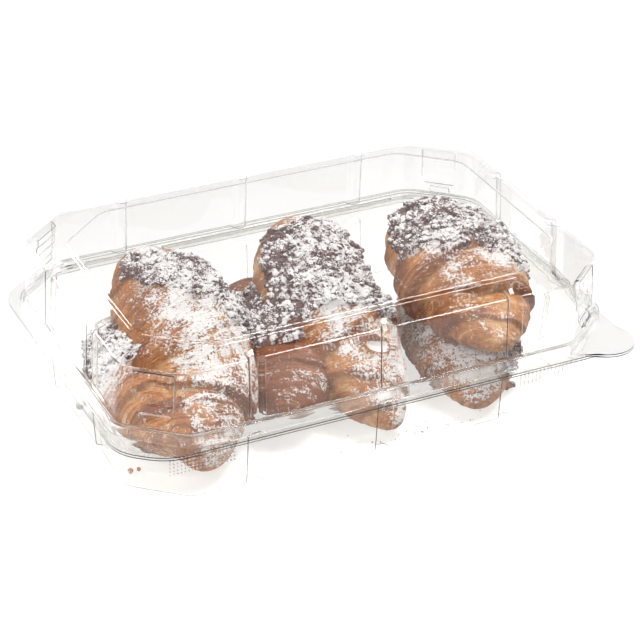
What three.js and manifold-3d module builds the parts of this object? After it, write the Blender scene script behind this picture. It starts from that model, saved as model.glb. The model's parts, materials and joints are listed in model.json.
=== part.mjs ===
// Six croissants in a clear hinged box. Millimetres, +Z up, +X along the box's long side,
// -Y towards the front, where the lid opens. The origin is the middle of the tray's underside.
import * as THREE from "three";
import { mergeVertices } from "three/addons/utils/BufferGeometryUtils.js";
import Module from "manifold-3d";

const wasm = await Module();
wasm.setup();

// ---- Box: driving dimensions ----
const SHEET = 0.8; // thickness of the formed plastic sheet
const GAP = 0.3; // clearance between pieces that touch
const BOX_LENGTH = 268; // over the lid's shoulder, along X
const BOX_WIDTH = 183; // over the lid's shoulder, along Y
const CHAMFER_X = 28; // how much each cut corner takes off the long sides
const CHAMFER_Y = 24; // and off the short sides
const FOOT_INSET = 2.4; // the tray's walls lean in this much towards the floor
const FOOT_ROUND = 0.6; // the floor's edge turns up over this much
const FOOT_TURN = 1.2; // and meets the wall at this height
const UPPER_INSET = [0.6, 0.4]; // how far in the tray's wall is where its grooves run out
const GROOVE_END = [3, 1]; // and how far below the lip that starts and ends
const TRAY_RIM = 39; // height of the tray's rolled rim
const LIP_BOTTOM = 31.5; // underside of the tray's outer lip
const LIP_REACH = 8; // how far both lips stand out from the shoulder line
const BEAD_REACH = 3.4; // how far the tray's rolled rim stands out
const NEST = 0.4; // the lid's flange sits this far off the tray's rim
const WALL_LEAN = 1.6; // the lid's walls spread this much from shoulder to flange
const SHOULDER = 72.8; // height of the lid's shoulder edge
const SHOULDER_ROUND = 1.4; // size of the rounded shoulder edge
const PANEL_FOOT = 75.2; // height where the shoulder meets the raised panel
const BOX_HEIGHT = 77; // top of the raised panel
const PANEL_INSET = 17; // from the shoulder line to the raised panel's edge
const PANEL_EDGE = 1.4; // the panel's edge slopes down over this much
const PANEL_FORM = { chamfer: 11, round: 7 }; // its cut corners are larger than a plain inset's

// ---- Grooves in the walls, and the stepped panels in the cut corners ----
const LONG_GROOVES = [-71.4, 0, 71.4]; // along each long side, from its middle
const SHORT_GROOVES = [-30, 30]; // along each short side, from its middle
const GROOVE_MOUTH = 8.5;
const GROOVE_FLOOR = 4;
const GROOVE_DEPTH = 4;
const CORNER_WIDE = 21; // width of the stepped panel in each cut corner of the lid
const CORNER_DEPTH = 2.4;
const CORNER_PANEL = [47, 70]; // from its foot to its head
const CORNER_STEPS = [1, 1.5]; // the heights its foot and head slope in over
const BUTTON_WIDE = 12; // width of the snap button at the foot of each cut corner
const BUTTON_TOP = 45;
const BUTTON_REACH = 1.8;
const LIP_FILL = -12; // the lips round off the cut corners this much less

const LIP_FORM = { round: 11, chamfer: LIP_FILL };
const RIM_FORM = { round: 8 };

// ---- Hinge and opening tab ----
const HINGE_RADIUS = 0.8; // of the folded strip that joins the two lips
const HINGE_CLEAR = 0.4; // from the lips' edges to that strip
const HINGE_END = 6; // it ends this far short of the cut corners
const TAB_RADIUS = 16; // of the thumb tab at the front right corner
const TAB_CENTRE = [129, -88]; // middle of its round end
const TAB_NECK = 8; // from there back to the lips

// ---- Pastries ----
const FULL_POWER = 2.4; // shape of the taper from the fat middle to the ends
const FULL_ROOT = 0.54;
const TAPER_FROM = 0.45; // the front part narrows further from here along it
const TAPER_POWER = 2.2;
const RINGS = 14;
const SPOKES = 18;
const TOPPING = 3.2; // thickness of the crumb topping
const PATCH_STEPS = 10;
const FRONT_STOP = -(BOX_WIDTH / 2 - FOOT_INSET - SHEET - GROOVE_DEPTH - GAP); // by the front wall

// back and front are the two ends' centres, bow is how far the middle bends to the right, and
// taper is the share of its width and height that the front end loses.
// A topping's left and right say where it lies round the pastry, in degrees from the crest
// towards the right; from and to say where it lies along the pastry, 0 at the back end.
const PASTRIES = [
  { name: "bottom_left", back: [-95, 44, 23], front: [-103, -78, 22], bow: 0, taper: 0.1, width: 54, height: 42,
    topping: { left: -75, right: 20, from: 0.15, to: 0.62 } },
  { name: "bottom_middle", back: [-12, 53, 23], front: [-38, -70, 23], bow: 0, taper: 0.1, width: 58, height: 42,
    topping: { left: -62, right: 20, from: 0.3, to: 0.8 } },
  { name: "bottom_right", back: [100, 46, 22], front: [57, -88, 10], bow: 0, taper: 0.4, width: 60, height: 42,
    topping: { left: 40, right: 100, from: 0.4, to: 0.85 } },
  { name: "top_left", back: [-70, 62, 54], front: [-95, -88, 13], bow: 7, taper: 0.35, width: 66, height: 50,
    topping: { left: -45, right: 72, from: 0.1, to: 0.55 } },
  { name: "top_middle", back: [18, 62, 54], front: [8, -88, 9], bow: -9, taper: 0.5, width: 68, height: 50,
    topping: { left: -60, right: 60, from: 0.08, to: 0.72 } },
  { name: "top_right", back: [91, 50, 51], front: [70, -87, 40], bow: 0, taper: 0.5, width: 68, height: 42,
    topping: { left: -66, right: 80, from: 0.06, to: 0.56 } },
];

const COLOURS = {
  plastic: { color: 0xf1f4f5, roughness: 0.06, metalness: 0 },
  pastry: { color: 0xc98d4f, roughness: 0.72, metalness: 0 },
  crumb: { color: 0x5c4444, roughness: 0.9, metalness: 0 },
};

// ---- Solids ----
function solidOf(geometry) {
  geometry.deleteAttribute("normal");
  geometry.deleteAttribute("uv");
  const merged = mergeVertices(geometry, 1e-4);
  const vertProperties = merged.attributes.position.array;
  const triVerts = new Uint32Array(merged.index.array);
  return new wasm.Manifold(new wasm.Mesh({ numProp: 3, vertProperties, triVerts }));
}

function geometryOf(solid) {
  const made = solid.getMesh();
  const geometry = new THREE.BufferGeometry();
  geometry.setAttribute("position", new THREE.BufferAttribute(made.vertProperties, 3));
  geometry.setIndex(new THREE.BufferAttribute(made.triVerts, 1));
  geometry.computeVertexNormals();
  return geometry;
}

function meshOf(name, geometry, kind) {
  const mesh = new THREE.Mesh(geometry, new THREE.MeshStandardMaterial(COLOURS[kind]));
  mesh.name = name;
  return mesh;
}

function geometryFrom(triangles) {
  return new THREE.BufferGeometry().setFromPoints(triangles.flat());
}

// A closed skin through rings that all have the same number of points. Each ring runs
// counterclockwise seen from where the rings go, and a fan about each pole closes the ends.
function loft(rings, firstPole, lastPole) {
  const triangles = [];
  const count = rings[0].length;
  for (let j = 0; j < count; j += 1) {
    const k = (j + 1) % count;
    triangles.push([firstPole, rings[0][k], rings[0][j]]);
    triangles.push([lastPole, rings.at(-1)[j], rings.at(-1)[k]]);
    for (let i = 0; i + 1 < rings.length; i += 1) {
      triangles.push([rings[i][j], rings[i][k], rings[i + 1][k]]);
      triangles.push([rings[i][j], rings[i + 1][k], rings[i + 1][j]]);
    }
  }
  return geometryFrom(triangles);
}

// ---- The box's outline ----
// One groove, as four points on the line from a to b, centred at a distance from its middle.
function groove(a, b, centre, mouth, floor, depth) {
  const along = b.clone().sub(a).normalize();
  const inwards = new THREE.Vector2(-along.y, along.x);
  const middle = a.clone().add(b).multiplyScalar(0.5);
  const corners = [[-mouth / 2, 0], [-floor / 2, depth], [floor / 2, depth], [mouth / 2, 0]];
  return corners.map(([s, d]) =>
    middle.clone().addScaledVector(along, centre + s).addScaledVector(inwards, d));
}

// The box's eight-sided outline at height z, grown outwards by grow. notch is the depth of the
// wall grooves, corner and wide the depth and width of the panels in the cut corners, round the
// rounding where two sides meet, and chamfer enlarges the cut corners.
function outline(grow, z, { notch = 0, corner = 0, wide = 3, round = 5, chamfer = 0 } = {}) {
  const halfX = BOX_LENGTH / 2 + grow;
  const halfY = BOX_WIDTH / 2 + grow;
  const cutX = CHAMFER_X + 0.586 * grow + chamfer;
  const cutY = CHAMFER_Y + 0.586 * grow + chamfer;
  const quarter = [[halfX, halfY - cutY], [halfX - cutX, halfY]];
  const corners = [[1, -1], [1, 1], [-1, 1], [-1, -1]].flatMap(([sx, sy]) => {
    const pair = sx * sy > 0 ? quarter : [...quarter].reverse();
    return pair.map(([x, y]) => new THREE.Vector2(sx * x, sy * y));
  });
  const points = [];
  corners.forEach((at, i) => {
    const before = corners[(i + 7) % 8];
    const after = corners[(i + 1) % 8];
    const from = at.clone().sub(before).setLength(-round).add(at);
    const to = after.clone().sub(at).setLength(round).add(at);
    points.push(...new THREE.QuadraticBezierCurve(from, at, to).getPoints(3));
    if (i % 2 === 0) {
      points.push(...groove(at, after, 0, wide, wide - 2, corner));
    } else {
      const centres = i % 4 === 1 ? SHORT_GROOVES : LONG_GROOVES;
      centres.forEach((c) => points.push(...groove(at, after, c, GROOVE_MOUTH, GROOVE_FLOOR, notch)));
    }
  });
  return points.map((p) => new THREE.Vector3(p.x, p.y, z));
}

// The thumb tab: a flat tongue with a round end, standing out from a lip at the front right corner.
function thumbTab(z) {
  const shape = new THREE.Shape();
  shape.moveTo(-TAB_NECK, -TAB_RADIUS);
  shape.absarc(0, 0, TAB_RADIUS, -Math.PI / 2, Math.PI / 2, false);
  shape.lineTo(-TAB_NECK, TAB_RADIUS);
  shape.closePath();
  const geometry = new THREE.ExtrudeGeometry(shape, { depth: SHEET, bevelEnabled: false });
  geometry.rotateZ(Math.atan2(-CHAMFER_X, CHAMFER_Y));
  geometry.translate(...TAB_CENTRE, z);
  return solidOf(geometry);
}

// The tray: floor, grooved walls, rolled rim and outer lip, in one sheet.
function tray() {
  const notch = GROOVE_DEPTH;
  const [lowerEnd, upperEnd] = GROOVE_END.map((drop) => LIP_BOTTOM - drop);
  const [lowerInset, upperInset] = UPPER_INSET;
  const skin = [
    outline(-FOOT_INSET - FOOT_ROUND, 0, { notch }),
    outline(-FOOT_INSET, FOOT_TURN, { notch }),
    outline(-lowerInset, lowerEnd, { notch }),
    outline(-upperInset, upperEnd),
    outline(0, TRAY_RIM - SHEET),
    outline(BEAD_REACH - SHEET, TRAY_RIM - SHEET, RIM_FORM),
    outline(BEAD_REACH - SHEET, LIP_BOTTOM, RIM_FORM),
    outline(LIP_REACH, LIP_BOTTOM, LIP_FORM),
    outline(LIP_REACH, LIP_BOTTOM + SHEET, LIP_FORM),
    outline(BEAD_REACH, LIP_BOTTOM + SHEET, RIM_FORM),
    outline(BEAD_REACH, TRAY_RIM, RIM_FORM),
    outline(-SHEET, TRAY_RIM),
    outline(-SHEET - upperInset, upperEnd),
    outline(-SHEET - lowerInset, lowerEnd, { notch }),
    outline(-SHEET - FOOT_INSET, FOOT_TURN + SHEET, { notch }),
    outline(-SHEET - FOOT_INSET - FOOT_ROUND, SHEET, { notch }),
  ];
  const body = solidOf(loft(skin, new THREE.Vector3(0, 0, 0), new THREE.Vector3(0, 0, SHEET)));
  return body.add(thumbTab(LIP_BOTTOM));
}

// The lid: raised panel, sloping shoulder, grooved walls, and a flange that nests over the rim.
function lid() {
  const lipUnder = LIP_BOTTOM + SHEET + NEST;
  const ledge = TRAY_RIM + NEST + SHEET;
  const skirt = BEAD_REACH + NEST;
  const notch = GROOVE_DEPTH;
  const wallTop = SHOULDER - SHOULDER_ROUND;
  const [panelFoot, panelHead] = CORNER_PANEL;
  const [footStep, headStep] = CORNER_STEPS;
  const plain = { notch, wide: CORNER_WIDE };
  const stepped = { ...plain, corner: CORNER_DEPTH };
  const button = { notch, corner: -BUTTON_REACH, wide: BUTTON_WIDE };
  const wall = [
    [wallTop, { notch }],
    [panelHead, plain],
    [panelHead - headStep, stepped],
    [panelFoot + footStep, stepped],
    [panelFoot, plain],
    [BUTTON_TOP, button],
    [ledge, button],
  ].map(([z, form]) => [WALL_LEAN * (wallTop - z) / (wallTop - ledge), z, form]);
  const outside = [
    outline(-PANEL_INSET, BOX_HEIGHT, PANEL_FORM),
    outline(PANEL_EDGE - PANEL_INSET, PANEL_FOOT, PANEL_FORM),
    outline(-SHOULDER_ROUND, SHOULDER, { notch }),
    ...wall.map((ring) => outline(...ring)),
  ];
  const inside = [
    outline(-PANEL_INSET, BOX_HEIGHT - SHEET, PANEL_FORM),
    outline(PANEL_EDGE - PANEL_INSET, PANEL_FOOT - SHEET, PANEL_FORM),
    outline(-SHOULDER_ROUND - SHEET, SHOULDER - SHEET, { notch }),
    // Under the shoulder's rounding and over the ledge, the inner face bends lower down.
    ...wall.map(([reach, z, form]) => {
      const drop = { [wallTop]: SHEET / 2, [ledge]: SHEET }[z] ?? 0;
      return outline(reach - SHEET, z - drop, form);
    }),
  ];
  const skin = [
    ...inside,
    outline(skirt, ledge - SHEET, RIM_FORM),
    outline(skirt, lipUnder, RIM_FORM),
    outline(LIP_REACH, lipUnder, LIP_FORM),
    outline(LIP_REACH, lipUnder + SHEET, LIP_FORM),
    outline(skirt + SHEET, lipUnder + SHEET, RIM_FORM),
    outline(skirt + SHEET, ledge, RIM_FORM),
    ...outside.reverse(),
  ];
  const under = new THREE.Vector3(0, 0, BOX_HEIGHT - SHEET);
  const body = solidOf(loft(skin, under, new THREE.Vector3(0, 0, BOX_HEIGHT)));
  return body.add(thumbTab(lipUnder));
}

// The folded strip that joins the back edges of the two lips, round the axis the lid turns on.
function hingeStrip() {
  const length = BOX_LENGTH - 2 * (CHAMFER_X + HINGE_END);
  const geometry = new THREE.CylinderGeometry(HINGE_RADIUS, HINGE_RADIUS, length, 10);
  geometry.rotateZ(Math.PI / 2);
  const y = BOX_WIDTH / 2 + LIP_REACH + HINGE_CLEAR + HINGE_RADIUS;
  geometry.translate(0, y, LIP_BOTTOM + SHEET + NEST / 2);
  return geometry;
}

// ---- Pastries ----
// A point on a pastry's skin: t along it, angle round it from the crest, grown outwards by grow.
function pastryPoint(pastry, t, angle, grow) {
  const back = new THREE.Vector3(...pastry.back);
  const front = new THREE.Vector3(...pastry.front);
  const forward = front.clone().sub(back).normalize();
  back.addScaledVector(forward, -grow);
  front.addScaledVector(forward, grow);
  const right = new THREE.Vector3(0, 0, 1).cross(forward).normalize();
  const crest = forward.clone().cross(right);
  const fullness = (1 - Math.abs(2 * t - 1) ** FULL_POWER) ** FULL_ROOT;
  const beyond = Math.max(0, (t - TAPER_FROM) / (1 - TAPER_FROM));
  const thin = fullness * (1 - pastry.taper * beyond ** TAPER_POWER);
  const point = back.clone().lerp(front, t);
  point.addScaledVector(right, pastry.bow * Math.sin(Math.PI * t));
  point.addScaledVector(right, Math.sin(angle) * (pastry.width / 2 + grow) * thin);
  point.addScaledVector(crest, Math.cos(angle) * (pastry.height / 2 + grow) * thin);
  point.z = Math.max(point.z, SHEET + GAP);
  point.y = Math.max(point.y, FRONT_STOP);
  return point;
}

// The whole rolled pastry, with small flats where it rests on the tray's floor and front wall.
function pastrySolid(pastry, grow = 0) {
  const rings = Array.from({ length: RINGS }, (_, i) => {
    const t = 0.5 - 0.5 * Math.cos((Math.PI * (i + 1)) / (RINGS + 1));
    return Array.from({ length: SPOKES }, (_, j) =>
      pastryPoint(pastry, t, (-2 * Math.PI * (j + 0.5)) / SPOKES, grow));
  });
  const poles = [0, 1].map((t) => pastryPoint(pastry, t, 0, grow));
  return solidOf(loft(rings, ...poles));
}

// The crumb topping: a curved slab over part of the crest, or one spread all round by spread.
function toppingSolid(pastry, spread = 0) {
  const steps = spread / 20;
  const turn = THREE.MathUtils.radToDeg(steps);
  const [left, right] = [pastry.topping.left - turn, pastry.topping.right + turn];
  const [from, to] = [pastry.topping.from - steps, pastry.topping.to + steps];
  const layer = (grow) => Array.from({ length: PATCH_STEPS + 1 }, (_, i) => {
    const t = THREE.MathUtils.lerp(from, to, i / PATCH_STEPS);
    return Array.from({ length: PATCH_STEPS + 1 }, (_, j) => {
      const angle = THREE.MathUtils.degToRad(THREE.MathUtils.lerp(left, right, j / PATCH_STEPS));
      return pastryPoint(pastry, t, angle, grow);
    });
  });
  const low = layer(GAP - spread / 2);
  const high = layer(TOPPING + spread);
  // Each ring goes along the upper layer and back along the lower one.
  const rings = high.map((row, i) => [...[...row].reverse(), ...low[i]]);
  const triangles = [];
  const count = rings[0].length;
  for (let i = 0; i < PATCH_STEPS; i += 1) {
    for (let j = 0; j < count; j += 1) {
      const k = (j + 1) % count;
      triangles.push([rings[i][j], rings[i][k], rings[i + 1][k]]);
      triangles.push([rings[i][j], rings[i + 1][k], rings[i + 1][j]]);
    }
  }
  [0, PATCH_STEPS].forEach((i) => {
    for (let j = 0; j < PATCH_STEPS; j += 1) {
      const quad = [high[i][j], high[i][j + 1], low[i][j + 1], low[i][j]];
      if (i > 0) quad.reverse();
      triangles.push([quad[0], quad[1], quad[2]], [quad[0], quad[2], quad[3]]);
    }
  });
  return solidOf(geometryFrom(triangles));
}

function largest(solid) {
  return solid.decompose().reduce((best, body) => (body.volume() > best.volume() ? body : best));
}

// ---- Assembly ----
const box = new THREE.Group();
box.add(meshOf("tray", geometryOf(tray()), "plastic"));
box.add(meshOf("lid", geometryOf(lid()), "plastic"));
box.add(meshOf("hinge_strip", hingeStrip(), "plastic"));

const uppers = PASTRIES.filter((p) => p.name.startsWith("top"));
PASTRIES.forEach((pastry) => {
  let body = pastrySolid(pastry);
  let topping = toppingSolid(pastry);
  if (!uppers.includes(pastry)) {
    // A lower pastry is dented where an upper one lies on it.
    uppers.forEach((upper) => {
      const above = pastrySolid(upper, GAP).add(toppingSolid(upper, GAP));
      body = body.subtract(above);
      topping = topping.subtract(above);
    });
  }
  box.add(meshOf("croissant_" + pastry.name, geometryOf(largest(body)), "pastry"));
  box.add(meshOf("crumbs_" + pastry.name, geometryOf(largest(topping)), "crumb"));
});

export default box;
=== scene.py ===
# %% [markdown]
# # Six croissants in a clear hinged box
#
# The box is a clamshell: one sheet of clear plastic, warmed and drawn over a mould, folded along
# its back edge. Inside lie six rolled croissants in two layers, with a baked-on topping of dark
# cocoa crumbs and a heavy dusting of icing sugar. The sizes come from the engineering model,
# which is loaded first and is never moved or changed.

import json
import math

import bmesh
import bpy
import numpy as np
from mathutils import Matrix, Vector, noise


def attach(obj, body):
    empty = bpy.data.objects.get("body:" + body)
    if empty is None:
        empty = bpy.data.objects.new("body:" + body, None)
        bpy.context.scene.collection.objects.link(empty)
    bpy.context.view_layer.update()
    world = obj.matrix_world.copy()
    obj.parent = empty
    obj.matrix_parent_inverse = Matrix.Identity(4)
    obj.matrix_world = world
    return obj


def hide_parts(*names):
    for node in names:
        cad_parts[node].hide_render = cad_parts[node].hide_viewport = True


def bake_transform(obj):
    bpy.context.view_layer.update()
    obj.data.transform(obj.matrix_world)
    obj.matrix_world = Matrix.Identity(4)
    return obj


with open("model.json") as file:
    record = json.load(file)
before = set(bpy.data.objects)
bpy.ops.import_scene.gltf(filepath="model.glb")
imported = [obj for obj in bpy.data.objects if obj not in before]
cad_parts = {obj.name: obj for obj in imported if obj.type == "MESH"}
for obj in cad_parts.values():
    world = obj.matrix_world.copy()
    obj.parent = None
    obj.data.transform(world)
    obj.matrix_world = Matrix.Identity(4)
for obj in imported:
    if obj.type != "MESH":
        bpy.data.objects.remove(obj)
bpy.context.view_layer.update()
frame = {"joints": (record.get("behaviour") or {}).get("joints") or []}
MM = 0.001  # sizes below are in millimetres, and this turns them into the frame's metres

# %% [markdown]
# ## Camera
#
# A long lens from about 1.2 metres keeps the box's edges nearly parallel, as in a catalogue
# picture. A camera could be aimed with a Track To constraint, but a small roll is wanted too, so
# its three axes are worked out from an azimuth, an elevation and the roll.

# %% The camera
LOOK_AT = Vector((-9.65, -13.3, 38)) * MM
DISTANCE = 1191.3 * MM
AZIMUTH, ELEVATION, ROLL = (math.radians(a) for a in (-25.637, 30.409, 0.76))
LENS, SENSOR = 127.9, 36  # millimetres
SIDE_SHIFT = 0.026  # share of the frame's width by which the view slides to the right


def linked(name, data):
    """A new object that holds data, in the scene."""
    obj = bpy.data.objects.new(name, data)
    bpy.context.scene.collection.objects.link(obj)
    return obj


def camera_axes():
    """The camera's right, up and back directions."""
    back = Vector((math.sin(AZIMUTH) * math.cos(ELEVATION),
                   -math.cos(AZIMUTH) * math.cos(ELEVATION), math.sin(ELEVATION)))
    level = Vector((0, 0, 1)).cross(back).normalized()
    upright = back.cross(level)
    right = level * math.cos(ROLL) + upright * math.sin(ROLL)
    return right, back.cross(right), back


camera = linked("camera", bpy.data.cameras.new("camera"))
camera.data.lens = LENS
camera.data.sensor_width = SENSOR
camera.data.shift_x = SIDE_SHIFT
right, up, back = camera_axes()
turn = Matrix((right, up, back)).transposed().to_4x4()
camera.matrix_world = Matrix.Translation(LOOK_AT + back * DISTANCE) @ turn
bpy.context.scene.camera = camera
print("camera at", [round(v, 3) for v in camera.location])

# %% [markdown]
# ## Small tools
#
# Most meshes here are written as points and faces, because their shapes follow rules. Node trees
# are written with helpers: one adds a node and fills or links its inputs, and the others each
# hand back the result of one kind of node, which keeps a material's cell short.

# %% Mesh and node helpers
def piece(name, points, faces, material, smooth=True):
    """A named object from points in millimetres and faces, in one material."""
    mesh = bpy.data.meshes.new(name)
    mesh.from_pydata((np.asarray(points, float) * MM).tolist(), [], faces)
    mesh.materials.append(material)
    if smooth:
        mesh.shade_smooth()
    return linked(name, mesh)


def outwards(mesh):
    """Turns a closed mesh's faces outwards, after joining points that lie on each other."""
    shape = bmesh.new()
    shape.from_mesh(mesh)
    bmesh.ops.remove_doubles(shape, verts=shape.verts, dist=1e-7)
    bmesh.ops.recalc_face_normals(shape, faces=shape.faces)
    shape.to_mesh(mesh)
    shape.free()


def finished(obj):
    """Turns an object's modifiers into plain mesh."""
    made = bpy.data.meshes.new_from_object(
        obj.evaluated_get(bpy.context.evaluated_depsgraph_get()))
    obj.modifiers.clear()
    obj.data = made
    return obj


def tube_faces(rings, count):
    """Faces of a skin through rings of count points each, closed round."""
    return [(i * count + j, i * count + (j + 1) % count,
             (i + 1) * count + (j + 1) % count, (i + 1) * count + j)
            for i in range(rings - 1) for j in range(count)]


def add(tree, kind, values=None, **settings):
    """A new node in tree. values fills its inputs, each by a number, a colour or a socket."""
    node = tree.nodes.new(kind)
    for key, value in settings.items():
        setattr(node, key, value)
    for key, value in (values or {}).items():
        if isinstance(value, bpy.types.NodeSocket):
            tree.links.new(value, node.inputs[key])
        else:
            node.inputs[key].default_value = value
    return node


def maths(tree, operation, *values, clamp=False):
    """The result of a Math node."""
    inputs = dict(enumerate(values))
    return add(tree, "ShaderNodeMath", inputs, operation=operation, use_clamp=clamp).outputs[0]


def scaled(tree, value, factor):
    """value times factor."""
    return maths(tree, "MULTIPLY", value, factor)


def scaled_plus(tree, value, factor, more):
    """value times factor, plus more."""
    return maths(tree, "MULTIPLY_ADD", value, factor, more)


def step_up(tree, value, low, high):
    """0 where value is under low, 1 where it is over high, and smooth between."""
    node = add(tree, "ShaderNodeMapRange", {"Value": value, "From Min": low, "From Max": high},
               interpolation_type="SMOOTHSTEP")
    return node.outputs["Result"]


def blended(tree, factor, first, second):
    """The colour of a Mix node."""
    return add(tree, "ShaderNodeMix", {0: factor, 6: first, 7: second}, data_type="RGBA").outputs[2]


def new_material(name):
    """An empty node material and its tree."""
    material = bpy.data.materials.new(name)
    material.use_nodes = True
    material.node_tree.nodes.clear()
    return material, material.node_tree


def object_noise(tree, scale, detail=3.0, roughness=0.6, stretch=(1, 1, 1)):
    """A noise pattern on the piece's own coordinates, scale in patches a metre."""
    place = add(tree, "ShaderNodeTexCoord").outputs["Object"]
    turned = add(tree, "ShaderNodeMapping", {"Vector": place, "Scale": stretch}).outputs[0]
    node = add(tree, "ShaderNodeTexNoise",
               {"Vector": turned, "Scale": scale, "Detail": detail, "Roughness": roughness})
    return node.outputs["Fac"]


def painted(tree, name):
    """A value painted on the piece's points."""
    return add(tree, "ShaderNodeAttribute", attribute_name=name).outputs["Fac"]


def surfaced(tree, shader):
    """Ends a material's tree in its shader."""
    add(tree, "ShaderNodeOutputMaterial", {"Surface": shader.outputs[0]})


print("helpers ready")

# %% [markdown]
# ## Clear plastic
#
# Formed plastic of this kind is as clear as glass but never quite flat, so a very faint, wide
# bump makes its reflections swim. The Principled shader with full transmission bends and mirrors
# what is behind it. Real thin plastic hardly darkens what it covers, while path-traced glass
# casts heavy shadows, so lamps' shadow rays go through a Transparent shader instead.

# %% Material: clear plastic
def clear_plastic():
    """Clear sheet that lets lamps' light straight through."""
    material, tree = new_material("clear plastic")
    ripple = object_noise(tree, 38, detail=1.5, stretch=(1, 1, 0.35))
    bump = add(tree, "ShaderNodeBump", {"Height": ripple, "Strength": 0.25, "Distance": 0.0006})
    sheet = add(tree, "ShaderNodeBsdfPrincipled",
                {"Base Color": (0.986, 0.983, 0.973, 1), "Roughness": 0.015, "IOR": 1.45,
                 "Transmission Weight": 1.0, "Normal": bump.outputs[0]})
    through = add(tree, "ShaderNodeBsdfTransparent", {"Color": (0.985, 0.983, 0.975, 1)})
    lamp = add(tree, "ShaderNodeLightPath").outputs["Is Shadow Ray"]
    mix = add(tree, "ShaderNodeMixShader", {0: lamp, 1: sheet.outputs[0], 2: through.outputs[0]})
    surfaced(tree, mix)
    return material


PLASTIC = clear_plastic()
print("material:", PLASTIC.name)

# %% [markdown]
# ## The box's outline
#
# Seen from above, tray and lid share one outline: a rectangle with four cut corners, and
# stiffening grooves pressed into its sides. Every level of the box is this outline at another
# reach, so one function draws it. It always returns the same number of points, which lets a skin
# be laid through the levels. The stations along a side crowd where a groove needs them.

# %% The outline at any level
BOX_LENGTH, BOX_WIDTH = 268, 183  # over the lid's shoulder
CHAMFER = (28, 24)  # what each cut corner takes off the long and the short sides
CHAMFER_GROWTH = 0.586  # a cut corner's sides grow this much for each millimetre of reach
GROOVES = {"long": (-71.4, 0, 71.4), "short": (-30, 30), "corner": ()}
GROOVE_MOUTH, GROOVE_FLOOR, GROOVE_DEPTH = 8.5, 4, 4
GROOVE_SOFT = 0.3  # a groove's sides start this far inside its floor and end as far past its mouth
CORNER_STEPS = 10  # points round each rounded corner
STATION_ROOM = 0.6  # room kept between a side's last station and its rounded corner
HALF_GROOVE = (0.36, 0.5, 0.62, 0.76, 0.9, 1.02, 1.2)  # shares of half a groove's mouth
HALF_CORNER = (1.6, 3.4, 5.0, 5.5, 6.0, 6.6, 7.8, 9.2, 9.8, 10.3, 10.8, 11.6)  # millimetres



def both_ways(half):
    """Places on both sides of a middle, from those on one side."""
    return [-s for s in reversed(half)] + [0] + list(half)


STATIONS = {kind: [c + a * GROOVE_MOUTH / 2 for c in centres for a in both_ways(HALF_GROOVE)]
            for kind, centres in GROOVES.items()}
STATIONS["corner"] = both_ways(HALF_CORNER)


def ease(value, low, high):
    """0 under low, 1 over high, smooth between. Works on numbers and arrays."""
    share = np.clip((value - low) / (high - low), 0, 1)
    return share * share * (3 - 2 * share)


def groove_depth(kind, s):
    """How deep the grooves are at s from the side's middle, from 0 to 1."""
    away = min(abs(s - c) for c in GROOVES[kind])
    return 1 - ease(away, GROOVE_FLOOR / 2 - GROOVE_SOFT, GROOVE_MOUTH / 2 + GROOVE_SOFT)


def outline(level, corner_press):
    """The outline's points at one level: (reach, height, groove depth, rounding, extra chamfer).

    corner_press(s, z) says how deep the cut corners are pressed in at s from their middle."""
    reach, z, notch, rounding, extra = level
    half_x, half_y = BOX_LENGTH / 2 + reach, BOX_WIDTH / 2 + reach
    cut_x, cut_y = (c + CHAMFER_GROWTH * reach + extra for c in CHAMFER)
    quarter = [np.array((half_x, half_y - cut_y)), np.array((half_x - cut_x, half_y))]
    corners = []
    for sign in ((1, -1), (1, 1), (-1, 1), (-1, -1)):
        pair = quarter if sign[0] * sign[1] > 0 else quarter[::-1]
        corners += [corner * sign for corner in pair]
    points = []
    for i, at in enumerate(corners):
        before, after = corners[i - 1], corners[(i + 1) % 8]
        start = at + (before - at) * rounding / np.linalg.norm(before - at)
        end = at + (after - at) * rounding / np.linalg.norm(after - at)
        for u in np.linspace(0, 1, CORNER_STEPS):
            points.append((1 - u) ** 2 * start + 2 * u * (1 - u) * at + u * u * end)
        kind = "corner" if i % 2 == 0 else ("short" if i % 4 == 1 else "long")
        length = np.linalg.norm(after - at)
        along = (after - at) / length
        inwards = np.array((-along[1], along[0]))
        squeeze = min(1, (length / 2 - rounding) / (STATIONS[kind][-1] + STATION_ROOM))
        for s in STATIONS[kind]:
            depth = corner_press(s, z) if kind == "corner" else notch * groove_depth(kind, s)
            points.append((at + after) / 2 + along * s * squeeze + inwards * depth)
    return np.array([(x, y, z) for x, y in points])


print("outline:", len(outline((0, 0, 0, 5, 0), lambda s, z: 0)), "points")

# %% [markdown]
# ## Levels from a few stops
#
# A formed sheet has no sharp bends: it thins and rounds over every edge of the mould. The
# profile of each half is therefore a handful of stops, each with a bend radius. Between stops
# the levels follow straight lines, and at a stop they follow a small curve.

# %% Rounding the profile
LEVEL_STEP = 0.85  # greatest distance between levels on the stretch that holds the corner panels
BEND_STEPS = 5  # levels round each bend


def levels_through(stops, fine=()):
    """Levels through stops of (bend, reach, height, groove depth, rounding, extra chamfer).

    Between the two heights in fine, the levels lie LEVEL_STEP apart."""
    bends = [stop[0] for stop in stops]
    at = [np.array(stop[1:], float) for stop in stops]
    levels = [at[0]]
    for i in range(1, len(at) - 1):
        legs = [np.linalg.norm((other - at[i])[:2]) for other in (at[i - 1], at[i + 1])]
        enter = at[i] + (at[i - 1] - at[i]) * min(0.5, bends[i] / legs[0])
        leave = at[i] + (at[i + 1] - at[i]) * min(0.5, bends[i] / legs[1])
        levels += between(levels[-1], enter, fine)
        for u in np.linspace(0, 1, BEND_STEPS):
            levels.append((1 - u) ** 2 * enter + 2 * u * (1 - u) * at[i] + u * u * leave)
    levels += between(levels[-1], at[-1], fine)
    levels.append(at[-1])
    return levels


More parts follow.
